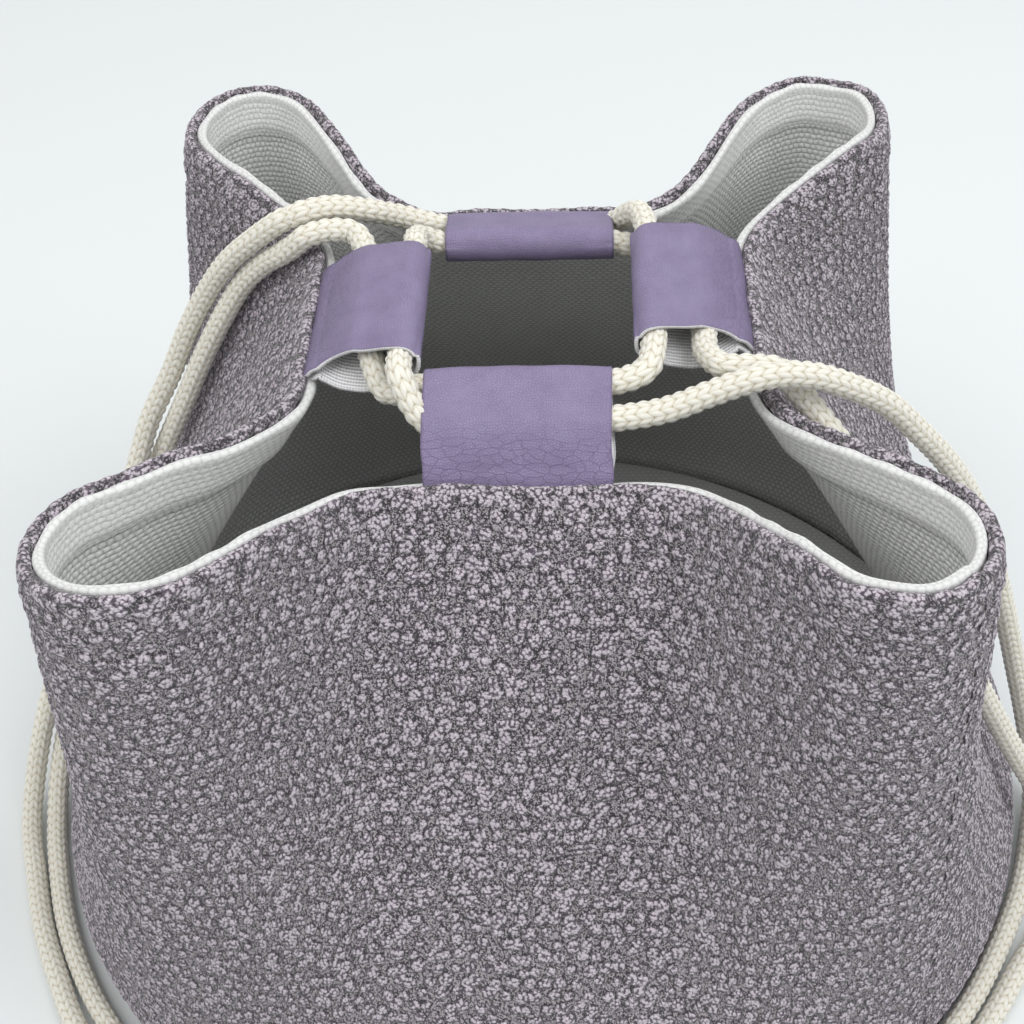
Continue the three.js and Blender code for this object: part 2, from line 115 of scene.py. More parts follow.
def from_seam(along):
    """Way along the rim from the nearest seam's middle, and whether that seam is the front or back one."""
    turn = np.mod(along, 2 * quarter)
    near_side = (turn < tip_way) | (turn > 2 * quarter - tip_way)
    return np.where(near_side, np.minimum(turn, 2 * quarter - turn), np.abs(turn - quarter)), ~near_side


def rim_height(along):
    turn = np.mod(along, 2 * quarter)
    way = np.where(turn > quarter, 2 * quarter - turn, turn)
    up = side_height + (lobe_height - side_height) * ease(way, seam_half, seam_half + climb)
    down = front_height + (lobe_height - front_height) * ease(quarter - way, seam_half, seam_half + climb)
    return np.where(way < quarter / 2, up, down)


def folds(along, depth, top):
    """Shallow slack folds of the hanging cloth, which are inwards only and die out at the seams and the foot."""
    slack = ease(depth, 0.012, 0.060) * ease(top - depth, 0.004, 0.040)
    turn = along / rim_length * 2 * np.pi
    wave = np.sin(turn * 9 + 0.6 + 14 * depth) + 0.7 * np.sin(turn * 17 + 1.9 - 25 * depth)
    wave = wave + 0.6 * np.sin(turn * 4 + 60 * depth + 0.4) + 0.4 * np.sin(turn * 29 + 70 * depth)
    return -0.0009 * slack * (1.3 + 0.5 * wave)


def right_seam_out(x, y):
    """How far the real bag's right seam stands out of the even form, at a place near it."""
    return (1 - ease(np.abs(y), 0.028, 0.085)) * ease(x, 0.020, 0.050) * right_seam_lean


def leaned(x, y, leaning):
    """The rim's place with the uneven stand of the real bag: each lobe leans its own way, and the right seam
    stands out."""
    rise = 0
    away = right_seam_out(x, y)
    for (side_x, side_y), (lean_x, lean_y, lean_z) in lobe_leans.items():
        lean = ease(side_x * x, 0.045, 0.095) * ease(side_y * y, 0.045, 0.095) * leaning
        x, y, rise = x + lean * lean_x, y + lean * lean_y, rise + lean * lean_z
    return x + away * leaning, y, rise


def wall_place(along, depth, leaning=0.0):
    top = rim_height(along)
    z = top - depth
    angle = along / rim_length * 2 * np.pi
    way = np.mod(along, rim_length)
    rim_x = np.interp(way, rim_way, rim_line[:, 0])
    rim_y = np.interp(way, rim_way, rim_line[:, 1])
    share = (np.maximum(z, 0) / top) ** wall_swing
    rim_x, rim_y, rise = leaned(rim_x, rim_y, leaning)
    waver = 0.0004 * np.sin(along * 190 + 2 * np.sin(along * 47)) + 0.0003 * np.sin(along * 83 + 1)
    z = z + rise * share + leaning * waver * share**6
    radius = body_radius - np.maximum(1 - z / foot_height, 0) ** 2 * foot_inset
    x = radius * np.cos(angle) * (1 - share) + rim_x * share
    y = radius * np.sin(angle) * (1 - share) + rim_y * share
    return np.stack([x, y, z], -1)


def wall_normal(along, depth):
    step = 0.0015
    across = wall_place(along + step, depth, 1.0) - wall_place(along - step, depth, 1.0)
    upward = wall_place(along, depth - step, 1.0) - wall_place(along, depth + step, 1.0)
    normal = np.cross(across, upward)
    normal /= np.linalg.norm(normal, axis=-1, keepdims=True)
    z = rim_height(along) - depth
    normal[..., 2] *= ease(z, foot_height * 0.5, foot_height * 1.5)
    return normal / np.linalg.norm(normal, axis=-1, keepdims=True)


def wall_shift(along, depth):
    """How much of a loop's slide the wall takes on: all of it at the loop's seam, and none at the lobe tips and
    the foot. Just below the rim the cloth keeps with the loop that is sewn in."""
    way, front = from_seam(along)
    top = rim_height(along)
    z = np.maximum(top - depth, 0)
    place = wall_place(along, depth)
    out = np.where(front, np.abs(place[..., 1]), np.abs(place[..., 0]))
    sideways = np.where(front, np.abs(place[..., 0]), np.abs(place[..., 1]))
    tip = wall_place(np.full_like(along, tip_way), rim_height(np.full_like(along, tip_way)) - z)
    tip_out = np.where(front, tip[..., 1], tip[..., 0])
    tip_sideways = np.where(front, tip[..., 0], tip[..., 1])
    share = np.minimum(1, (z / np.maximum(top - 0.012, 1e-6))) ** wall_swing
    reach = np.where(front, front_reach, side_reach) + slide_reach
    full = body_radius * (1 - share) + reach * share
    bow = np.clip((sideways - seam_half) / np.maximum(tip_sideways - seam_half, 1e-6), 0, 1) ** 2
    target = full - (full - tip_out) * bow
    weight = np.clip((target - out) / slide_reach, 0, 1)
    at_seam = (1 - ease(way, seam_half, seam_half + 0.012)) * share
    return np.maximum(weight * ease(z, 0, 0.03), at_seam * (1 - ease(depth, 0.0120, 0.0260)))


# Drawcords: two cords knitted in plied cream yarn, 6 mm thick, of which each runs through all four loops. Cord A
# leaves the mouth at the back left, cord B at the front right, and each pair of ends hangs down to the floor
# and is tied in one knot.
cord_thickness = 0.006
stitch_pitch = 0.0030
stitch_columns = 6
cream = (0.98, 0.96, 0.87, 1)
cream_soft = (0.86, 0.82, 0.68, 1)
cream_shade = (0.42, 0.34, 0.20, 1)


class Shade:
    """A socket of a material, whose sums are written as in Python."""

    def __init__(self, socket):
        self.socket = socket

    def node(self, kind, settings=None, inputs=None, output=0):
        made = self.socket.id_data.nodes.new(kind)
        for name, value in (settings or {}).items():
            if name == "stops":
                while len(made.color_ramp.elements) < len(value):
                    made.color_ramp.elements.new(0.5)
                for element, (place, colour) in zip(made.color_ramp.elements, value):
                    element.position = place
                    element.color = colour
            else:
                setattr(made, name, value)
        for name, value in (inputs or {}).items():
            if isinstance(value, Shade):
                self.socket.id_data.links.new(value.socket, made.inputs[name])
            else:
                made.inputs[name].default_value = value
        return Shade(made.outputs[output])

    def sum(self, operation, *others):
        return self.node("ShaderNodeMath", {"operation": operation}, dict(enumerate((self,) + others)))

    def __add__(self, other):
        return self.sum("ADD", other)

    __radd__ = __add__

    def __sub__(self, other):
        return self.sum("SUBTRACT", other)

    def __rsub__(self, other):
        return self.node("ShaderNodeMath", {"operation": "SUBTRACT"}, {0: other, 1: self})

    def __mul__(self, other):
        return self.sum("MULTIPLY", other)

    __rmul__ = __mul__

    def __truediv__(self, other):
        return self.sum("DIVIDE", other)

    def step(self, low, high):
        """0 below low, 1 above high, and smooth between them."""
        return self.node(
            "ShaderNodeMapRange",
            {"interpolation_type": "SMOOTHSTEP"},
            {"Value": self, "From Min": low, "From Max": high},
        )

    def mix(self, low, high):
        """The colour between two, by this value."""
        return self.node(
            "ShaderNodeMix", {"data_type": "RGBA", "clamp_factor": True}, {0: self, 6: low, 7: high}, output=2
        )


def finish_of(name, **values):
    """A new material and its shader, with the shader's plain values set."""
    material = bpy.data.materials.new(name)
    material.use_nodes = True
    shader = material.node_tree.nodes["Principled BSDF"]
    for key, value in values.items():
        shader.inputs[key.replace("_", " ")].default_value = value
    return material, shader


def connect(shader, **links):
    for key, value in links.items():
        shader.id_data.links.new(value.socket, shader.inputs[key.replace("_", " ")])


def map_of(shader):
    """The two ways along a piece's own map, in metres."""
    start = Shade(shader.id_data.nodes.new("ShaderNodeUVMap").outputs[0])
    apart = start.node("ShaderNodeSeparateXYZ", None, {0: start})
    return start, apart, Shade(apart.socket.node.outputs[1])


def bump(height, strength, distance, normal=None):
    inputs = {"Strength": strength, "Distance": distance, "Height": height}
    if normal is not None:
        inputs["Normal"] = normal
    return height.node("ShaderNodeBump", None, inputs)


knit, shader = finish_of("knitted cord", Roughness=0.86, Sheen_Weight=0.25, Sheen_Roughness=0.6)
place, around, along = map_of(shader)
column = (around * stitch_columns).sum("FRACT") - 0.5
slant = column.sum("ABSOLUTE")
leg = (along / stitch_pitch - slant * 1.1).sum("FRACT") - 0.5
stitch = 1 - (leg * leg * 3.4)
plump = stitch * (1 - (slant - 0.24) * (slant - 0.24) * 11)
yarn = place.node(
    "ShaderNodeTexNoise", None, {"Vector": place, "Scale": 1500, "Detail": 3, "Roughness": 0.7}
)
soil = place.node("ShaderNodeTexNoise", None, {"Vector": place, "Scale": 40, "Detail": 2})
fibre = (leg * 60 + slant * 30).sum("SINE") * 0.12
hollow = (plump + (yarn - 0.5) * 0.8 + fibre).step(-0.15, 0.42)
tone = (plump + (yarn - 0.5) * 0.5 + (soil - 0.5) * 0.3 + fibre).step(0.1, 0.9)
connect(
    shader, Base_Color=hollow.mix(cream_shade, tone.mix(cream_soft, cream)),
    Normal=bump(plump * 0.75 + yarn * 0.25 + fibre, 0.85, 0.0006),
)


def layer_share(along, depth, inset, side, normal):
    """The share of a loop's slide for a point inside the wall: less than at the wall's outside where the cloth
    turns while it opens, so that the layers stay one inside the other."""
    outward = np.array({"right": (1, 0, 0), "back": (0, 1, 0), "left": (-1, 0, 0), "front": (0, -1, 0)}[side])
    step = 0.0015
    opened = [
        wall_place(along + a, depth + d) + (wall_shift(along + a, depth + d) * slide_reach)[..., None] * outward
        for a, d in ((step, 0), (-step, 0), (0, -step), (0, step))
    ]
    turned = np.cross(opened[0] - opened[1], opened[2] - opened[3])
    turned /= np.maximum(np.linalg.norm(turned, axis=-1, keepdims=True), 1e-12)
    lost = 1 - (normal * turned).sum(-1)
    return np.clip(wall_shift(along, depth) - inset * lost / np.maximum(turned @ outward, 0.5) / slide_reach, 0, 1)


def laid_faces(name, points, flat, closed_across=False, closed_along=False, capped=True, values=None):
    """A grid of faces whose corners lie on rows of points, with its map and the values that belong to each corner.
    Closed edges are joined and open ends are filled."""
    count, rows = points.shape[:2]
    mesh = bpy.data.meshes.new(name)
    form = bmesh.new()
    bmesh.ops.create_grid(form, x_segments=count - 1, y_segments=rows - 1, size=0.5)
    form.to_mesh(mesh)
    form.free()
    unit = np.empty(len(mesh.vertices) * 3)
    mesh.vertices.foreach_get("co", unit)
    unit = unit.reshape(-1, 3)
    i = np.rint((unit[:, 0] + 0.5) * (count - 1)).astype(int)
    j = np.rint((unit[:, 1] + 0.5) * (rows - 1)).astype(int)
    mesh.vertices.foreach_set("co", points[i, j].ravel())
    for key, value in (values or {}).items():
        mesh.attributes.new(key, "FLOAT", "POINT").data.foreach_set("value", value[i, j].astype(np.float32))
    corners = np.empty(len(mesh.loops), int)
    mesh.loops.foreach_get("vertex_index", corners)
    mesh.uv_layers.new(name="map").data.foreach_set("uv", flat[i, j][corners].ravel())
    form = bmesh.new()
    form.from_mesh(mesh)
    if closed_across or closed_along:
        bmesh.ops.remove_doubles(form, verts=form.verts, dist=1e-6)
    if capped:
        for edge in form.edges:
            if edge.is_boundary:
                edge.smooth = False
        bmesh.ops.holes_fill(form, edges=[edge for edge in form.edges if edge.is_boundary], sides=0)
    for face in form.faces:
        face.smooth = True
    if capped or (closed_across and closed_along):
        bmesh.ops.recalc_face_normals(form, faces=form.faces)
    form.to_mesh(mesh)
    form.free()
    piece = bpy.data.objects.new(name, mesh)
    bpy.context.collection.objects.link(piece)
    return piece


def smooth_route(points, step):
    """Evenly spaced points on the curve through given ones, eased by the square roots of their distances."""
    p = np.array(points, float)
    p = np.vstack([2 * p[0] - p[1], p, 2 * p[-1] - p[-2]])
    gap = np.linalg.norm(np.diff(p, axis=0), axis=1) ** 0.5
    parts = []
    for k in range(1, len(p) - 2):
        a, b, c, d = p[k - 1 : k + 3]
        g0, g1, g2 = gap[k - 1 : k + 2]
        start = ((b - a) / g0 - (c - a) / (g0 + g1) + (c - b) / g1) * g1
        end = ((c - b) / g1 - (d - b) / (g1 + g2) + (d - c) / g2) * g1
        t = np.linspace(0, 1, 40, endpoint=False)[:, None]
        parts.append(
            (2 * t**3 - 3 * t**2 + 1) * b + (t**3 - 2 * t**2 + t) * start
            + (3 * t**2 - 2 * t**3) * c + (t**3 - t**2) * end
        )
    line = np.vstack(parts + [p[-2:-1]])
    way = np.concatenate([[0], np.cumsum(np.linalg.norm(np.diff(line, axis=0), axis=1))])
    ways = np.linspace(0, way[-1], max(int(way[-1] / step), 8) + 1)
    return np.stack([np.interp(ways, way, line[:, k]) for k in range(3)], -1), ways


def knitted_tube(name, points, start=0.0):
    """A knitted cord along a route, its stitches standing out in six columns."""
    line, ways = smooth_route(points, 0.00055)
    tangent = np.gradient(line, axis=0)
    tangent /= np.linalg.norm(tangent, axis=1, keepdims=True)
    normal = np.cross(tangent[0], [0.0, 0.3, 1.0])
    normals = []
    for way in tangent:
        normal = normal - way * normal.dot(way)
        normal = normal / np.linalg.norm(normal)
        normals.append(normal)
    normals = np.array(normals)
    across = np.cross(tangent, normals)
    u = np.linspace(0, 1, 25)[None, :]
    v = (ways + start)[:, None]
    column = np.abs(np.mod(u * stitch_columns, 1) - 0.5)
    leg = np.mod(v / stitch_pitch - column * 1.1, 1) - 0.5
    plump = (1 - leg**2 * 3.4) * (1 - (column - 0.24) ** 2 * 11)
    radius = cord_thickness / 2 * (0.90 + 0.20 * plump)
    turn = 2 * np.pi * u
    rings = line[:, None] + radius[..., None] * (
        np.cos(turn)[..., None] * normals[:, None] + np.sin(turn)[..., None] * across[:, None]
    )
    flat = np.stack(np.broadcast_arrays(u, v), -1)
    way = np.broadcast_to(ways[:, None] / ways[-1], flat.shape[:2])
    piece = laid_faces(name, rings[:, ::-1], flat[:, ::-1], closed_along=True, values={"way": way})
    piece.data.materials.append(knit)
    return piece, line


# Routes of the cords, in metres. Inside each loop one cord lies at the fold and one at the root, so many metres
# inwards from the middle of the bag and up from the floor. Between the loops a cord sags or lifts a little.
fold_slot = {
    "right": (0.02783, 0.18507), "left": (0.02783, 0.18507),
    "back": (0.03098, 0.17837), "front": (0.03294, 0.18171),
}
root_slot = {
    "right": (0.04026, 0.18126), "left": (0.04026, 0.18126),
    "back": (0.04354, 0.17501), "front": (0.0414, 0.1778),
}


def in_loop(side, slot, way, pull=0):
    """A point of a cord inside a loop, a way along its seam, which counts anticlockwise from above, and pulled a
    little towards the loop's fold."""
    reach, height = slot[side]
    reach = reach - pull + (right_seam_lean if side == "right" else 0)
    x, y = {"right": (reach, way), "back": (-way, reach), "left": (-reach, -way), "front": (way, -reach)}[side]
    return (x, y, height)


loop_mouth_way, past_mouth_way = 0.0215, 0.0275


def corner_route(first, first_slot, second, second_slot, lift, pull):
    """From the middle of one loop to the middle of the next, over one point between their mouths."""
    ends = np.array([
        in_loop(first, first_slot, past_mouth_way, pull), in_loop(second, second_slot, -past_mouth_way)
    ])
    over = ends.mean(0) + [0, 0, lift]
    before = [
        in_loop(first, first_slot, way, pull * way / loop_mouth_way) for way in (0, 0.008, 0.016, loop_mouth_way)
    ]
    after = [in_loop(second, second_slot, way) for way in (-loop_mouth_way, -0.016, -0.008, 0)]
    return before + [tuple(over)] + after


corner_cords = [
    ("cord_a_round_back_right", "right", fold_slot, "back", root_slot, 0.0042, 0, 0.0745),
    ("cord_b_round_back_right", "right", root_slot, "back", fold_slot, -0.0036, 0, 0.0690),
    ("cord_b_round_back_left", "back", fold_slot, "left", fold_slot, 0, 0, 0.0610),
    ("cord_a_round_front_left", "left", root_slot, "front", fold_slot, -0.0036, 0.0045, 0.0670),
    ("cord_b_round_front_left", "left", fold_slot, "front", root_slot, 0.0042, 0, 0.0700),
    ("cord_a_round_front_right", "front", fold_slot, "right", fold_slot, 0, 0, 0.0630),
]
corner_nodes = {
    "cord_a_round_back_right": ["cord_a_right_to_back", "cord_a_in_right_loop"],
    "cord_b_round_back_right": ["cord_b_right_to_back", "cord_b_in_right_loop"],
    "cord_b_round_back_left": ["cord_b_back_to_left", "cord_b_in_back_loop"],
    "cord_a_round_front_left": ["cord_a_left_to_front", "cord_a_in_left_loop"],
    "cord_b_round_front_left": ["cord_b_left_to_front", "cord_b_in_left_loop"],
    "cord_a_round_front_right": ["cord_a_front_to_right", "cord_a_in_front_loop"],
}


def follow_by(piece, share):
    """The piece's place is baked into its mesh, and a share for each of its corners is worked out from the
    corners' own attribute, the way along the piece. The share is not used."""
    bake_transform(piece)
    own = np.empty(len(piece.data.vertices), np.float32)
    piece.data.attributes["way"].data.foreach_get("value", own)
    share(own).astype(np.float32)


for name, first_side, first_slot, second_side, second_slot, lift, pull, length in corner_cords:
    route = corner_route(first_side, first_slot, second_side, second_slot, lift, pull)
    piece, line = knitted_tube(name, route)
    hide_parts(*corner_nodes[name])
    if first_side in ("back", "front"):
        follow_by(piece, lambda way: ease(way, 0.32, 0.68))
    else:
        follow_by(piece, lambda way: 1 - ease(way, 0.32, 0.68))


def follow_seam(points):
    """A route's points, moved along with the uneven stand of the wall that they lie on."""
    moved = []
    for x, y, z in points:
        away = float(right_seam_out(x, y))
        moved.append((x + away * min(1, z / side_height) ** wall_swing, y, z))
    return moved


over_rim = {
    "cord_a_from_back_loop": ("back", root_slot, [
        (-0.0335, 0.0436, 0.1788), (-0.042, 0.0398, 0.1834), (-0.051, 0.037, 0.1864),
        (-0.05818, 0.03488, 0.18639), (-0.0612, 0.0348, 0.1852),
    ]),
    "cord_a_from_left_loop": ("left", root_slot, [
        (-0.0445, 0.029, 0.1833), (-0.0505, 0.030, 0.1837), (-0.057, 0.0298, 0.1823),
        (-0.061, 0.03144, 0.17829), (-0.0632, 0.0326, 0.1762),
    ]),
    "cord_b_from_front_loop": ("front", root_slot, [
        (0.0325, -0.0405, 0.1795), (0.042, -0.0390, 0.1834), (0.051, -0.038, 0.1866),
        (0.05812, -0.03666, 0.18682), (0.0612, -0.0360, 0.1860),
    ]),
    "cord_b_from_right_loop": ("right", root_slot, [
        (0.0445, -0.029, 0.1833), (0.0505, -0.030, 0.1837), (0.057, -0.0298, 0.1823),
        (0.06087, -0.03067, 0.17798), (0.0630, -0.0318, 0.1758),
    ]),
}
over_rim_facts = {
    "cord_a_from_back_loop": (1, ["cord_a_back_loop_over_rim", "cord_a_in_back_loop"], 0.0651, "back", "left"),
    "cord_a_from_left_loop": (-1, ["cord_a_left_loop_over_rim"], 0.0527, None, "left"),
    "cord_b_from_front_loop": (
        1, ["cord_b_front_loop_over_rim", "cord_b_in_front_loop"], 0.0646, "front", "right"
    ),
    "cord_b_from_right_loop": (-1, ["cord_b_right_loop_over_rim"], 0.0526, None, "right"),
}
rim_ends = {}
for name, (side, slot, points) in over_rim.items():
    sign, nodes, length, near, far = over_rim_facts[name]
    route = [in_loop(side, slot, sign * way) for way in (0, 0.008, 0.015, 0.0205)] + follow_seam(points)
    piece, line = knitted_tube(name, route)
    rim_ends[name] = (line[-1], float(np.linalg.norm(np.diff(line, axis=0), axis=1).sum()))
    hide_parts(*nodes)
    if near is None:
        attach(piece, f"loop_{far}")
    else:
        follow_by(piece, lambda way: ease(way, 0.36, 0.95))

tails = {
    "cord_a_tail_from_back": ("left", "cord_a_from_back_loop", 0.406, [
        (-0.0612, 0.0348, 0.1852), (-0.06422, 0.03472, 0.18401), (-0.071, 0.0365, 0.1785),
        (-0.0817, 0.0405, 0.1675), (-0.0908, 0.0444, 0.154), (-0.0987, 0.0458, 0.140),
        (-0.106, 0.0452, 0.125), (-0.1145, 0.041, 0.110), (-0.121, 0.0325, 0.094),
        (-0.132, 0.024, 0.074), (-0.1445, 0.013, 0.051), (-0.1545, -0.001, 0.027),
        (-0.1588, -0.0145, 0.010), (-0.158, -0.0285, 0.0036), (-0.1526, -0.0458, 0.0034),
        (-0.1462, -0.0642, 0.0034), (-0.1382, -0.0808, 0.0034), (-0.1286, -0.0978, 0.0034),
        (-0.1146, -0.113, 0.0034), (-0.0988, -0.1282, 0.0034), (-0.0816, -0.1422, 0.0034),
        (-0.066, -0.151, 0.0039), (-0.0555, -0.1575, 0.0055),
    ]),
    "cord_a_tail_from_left": ("left", "cord_a_from_left_loop", 0.390, [
        (-0.0632, 0.0326, 0.1762), (-0.0654, 0.03376, 0.17411), (-0.071, 0.0372, 0.169),
        (-0.0787, 0.0406, 0.1602), (-0.0864, 0.042, 0.148), (-0.0947, 0.0426, 0.133),
        (-0.1026, 0.0422, 0.1173), (-0.111, 0.041, 0.101), (-0.1215, 0.036, 0.081),
        (-0.133, 0.027, 0.057), (-0.1445, 0.012, 0.034), (-0.151, -0.009, 0.013),
        (-0.1502, -0.027, 0.004), (-0.1468, -0.041, 0.0034), (-0.1398, -0.062, 0.0034),
        (-0.1312, -0.0795, 0.0034), (-0.1205, -0.0955, 0.0034), (-0.1063, -0.1106, 0.0034),
        (-0.090, -0.1245, 0.0034), (-0.073, -0.136, 0.0034), (-0.059, -0.1445, 0.0038),
        (-0.0500, -0.1525, 0.0055),
    ]),
    "cord_b_tail_from_front": ("right", "cord_b_from_front_loop", 0.390, [
        (0.0612, -0.0360, 0.1860), (0.06428, -0.03534, 0.18518), (0.072, -0.0335, 0.181),
        (0.083, -0.030, 0.1725), (0.093, -0.0265, 0.1605), (0.103, -0.022, 0.1465),
        (0.1125, -0.0175, 0.130), (0.1215, -0.0135, 0.109), (0.1305, -0.0105, 0.084),
        (0.1395, -0.0085, 0.056), (0.1475, -0.008, 0.030), (0.1525, -0.011, 0.011),
        (0.1515, -0.022, 0.004), (0.1493, -0.030, 0.0034), (0.1432, -0.0485, 0.0034),
        (0.1339, -0.0678, 0.0034), (0.1222, -0.0873, 0.0034), (0.108, -0.105, 0.0034),
        (0.092, -0.120, 0.0034), (0.075, -0.1325, 0.0034), (0.060, -0.142, 0.0038),
        (0.0505, -0.1525, 0.0055),
    ]),
    "cord_b_tail_from_right": ("right", "cord_b_from_right_loop", 0.357, [
        (0.0630, -0.0318, 0.1758), (0.06513, -0.03293, 0.17362), (0.071, -0.0372, 0.168),
        (0.0787, -0.0412, 0.159), (0.0864, -0.0428, 0.1474), (0.0947, -0.0444, 0.133),
        (0.1032, -0.0455, 0.117), (0.112, -0.045, 0.099), (0.1225, -0.0425, 0.077),
        (0.135, -0.0395, 0.052), (0.1475, -0.0375, 0.028), (0.1565, -0.040, 0.009),
        (0.158, -0.047, 0.0038), (0.150, -0.060, 0.0034), (0.138, -0.076, 0.0034),
        (0.1274, -0.0919, 0.0034), (0.113, -0.110, 0.0034), (0.097, -0.125, 0.0034),
        (0.080, -0.139, 0.0034), (0.066, -0.1495, 0.0039), (0.0555, -0.1575, 0.0055),
    ]),
}

wall_grid_along = np.arange(0, rim_length, 0.004)[:, None] + np.zeros((1, 46))
wall_grid_depth = np.broadcast_to(np.linspace(0, 0.18, 46), wall_grid_along.shape)
wall_points = wall_place(wall_grid_along, wall_grid_depth).reshape(-1, 3)
wall_weights = wall_shift(wall_grid_along, wall_grid_depth).ravel()
nearest_wall = KDTree(len(wall_points))
for k, point in enumerate(wall_points):
    nearest_wall.insert(point, k)
nearest_wall.balance()

# Knots: the two ends of a cord tied together in one overhand knot, pulled tight, with short frayed ends.
knot_x, knot_y, knot_z = 0.0475, -0.1600, 0.0058
for letter, side in (("a", -1), ("b", 1)):
    turn = np.linspace(0, 2 * np.pi, 40)
    core = np.stack([
        0.0019 * (np.sin(turn) + 2 * np.sin(2 * turn)),
        0.0019 * (np.cos(turn) - 2 * np.cos(2 * turn)),
        0.0023 * -np.sin(3 * turn),
    ], -1) + [side * knot_x, knot_y, knot_z]
    ends = [
        [(side * knot_x, knot_y, knot_z), (side * x, -0.1635, 0.0060), (side * (x - 0.0025), -0.1665, 0.0040),
         (side * (x - 0.0045), -0.1692, 0.0034)]
        for x in (0.0440, 0.0500)
    ]
    tubes = [
        knitted_tube(f"knot_{letter}{part}", points)[0]
        for part, points in zip(("", "_end_1", "_end_2"), [core] + ends)
    ]
    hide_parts(f"cord_{letter}_knot")
    for tube in tubes:
        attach(tube, "bag_body")

eased_each_side = 60
window = 2 * eased_each_side + 1
for name, (side, before, length, points) in tails.items():
    points = follow_seam(points)
    piece, line = knitted_tube(f"tail_{name[5]}{name[11:]}", points, start=rim_ends[before][1])
    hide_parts(name)
    way = np.linspace(0, length, len(line))
    weights = np.array([wall_weights[nearest_wall.find(point)[1]] for point in line])
    weights = np.convolve(np.pad(weights, eased_each_side, mode="edge"), np.ones(window) / window, "valid")
    start_share = 1 - ease(way, 0, 0.05)
    weights = np.maximum(weights * (1 - ease(line[:, 2] * -1, -0.03, -0.004)), 0)
    weights = weights * (1 - start_share) + start_share
    follow_by(piece, lambda own: np.interp(own, way / length, weights))

# Outer cloth: thick chenille, woven in courses of fluffy nubs of lilac grey yarn on a dark ground, its top edge
# rolled over. It is made in four pieces that meet at the tips of the lobes, one at each loop.
cloth_thickness = 0.0032
nub_across, nub_down = 0.0041, 0.0035
petal_light, petal_dark = (0.66, 0.588, 0.66, 1), (0.085, 0.064, 0.092, 1)
ground_light, ground_dark = (0.42, 0.380, 0.410, 1), (0.020, 0.015, 0.023, 1)

chenille, shader = finish_of("chenille", Roughness=0.95, Sheen_Weight=0.25, Sheen_Roughness=0.5)
place, around, down = map_of(shader)
dome = place.node("ShaderNodeAttribute", {"attribute_name": "nub"}, None, output=2)
fluff = place.node("ShaderNodeTexNoise", None, {"Vector": place, "Scale": 700, "Detail": 3, "Roughness": 0.7})
worn = place.node("ShaderNodeTexNoise", None, {"Vector": place, "Scale": 24, "Detail": 3, "Roughness": 0.6})
curls, curl_tones, hairs, hair_tones = [
    place.node(
        "ShaderNodeTexVoronoi", {"voronoi_dimensions": "2D"},
        {"Vector": place, "Scale": scale, "Randomness": 0.95}, output=output,
    )
    for scale in (1020, 2700)
    for output in (0, 1)
]
curl, hair = 1 - curls.step(0.20, 0.68), 1 - hairs.step(0.10, 0.70)
at_edge = 1 - down.step(0.0024, 0.0040)
standing = dome + (fluff - 0.5) * 0.7 + (worn - 0.5) * 0.35 + at_edge * 0.22
cluster, beside = standing.step(0.32, 0.62), standing.step(0.10, 0.34)
petals = (curl * 0.95 + (curl_tones - 0.5) * 0.5 + (hair_tones - 0.5) * 0.9 + hair * 0.12 - 0.02).step(0.0, 0.95)
# Painted shade: the ground is darkened in the ring just beside each cluster of nubs, where the pile shades it.
ground = (hair * 0.45 + (hair_tones - 0.5) * 1.5 + curl * 0.35 + 0.08 - (beside - cluster) * 0.45).step(0.0, 1.0)
connect(
    shader,
    Base_Color=cluster.mix(ground.mix(ground_dark, ground_light), petals.mix(petal_dark, petal_light)),
    Normal=bump(cluster * curl * 0.7 + cluster * 0.3 + hair * 0.3 + hair_tones * 0.3, 0.9, 0.0009),
)


scatter = np.random.default_rng(5).random((3, 512, 512))


def nub_height(u, v):
    """How far the pile stands up, from 0 between the nubs to 1 on one: nubs of uneven size, scattered in their
    courses."""
    nearest = np.full(np.broadcast(u, v).shape, 9.0)
    for beside in (-1, 0, 1):
        for under in (-1, 0, 1):
            course = np.floor(v / nub_down) + under
            nub = np.floor(u / nub_across + course * 0.5) + beside
            own = scatter[:, np.mod(nub, 512).astype(int), np.mod(course, 512).astype(int)]
            at_u = (nub + 0.5 - course * 0.5 + 0.50 * (own[0] - 0.5)) * nub_across
            at_v = (course + 0.5 + 0.45 * (own[1] - 0.5)) * nub_down
            size = 0.76 + 0.42 * own[2]
            away = np.hypot(u - at_u, v - at_v) / nub_across / size
            nearest = np.minimum(nearest, away + 0.03 * np.sin(5 * np.arctan2(v - at_v, u - at_u) + 6 * own[2]))
    return 1 - ease(nearest, 0.12, 0.56)


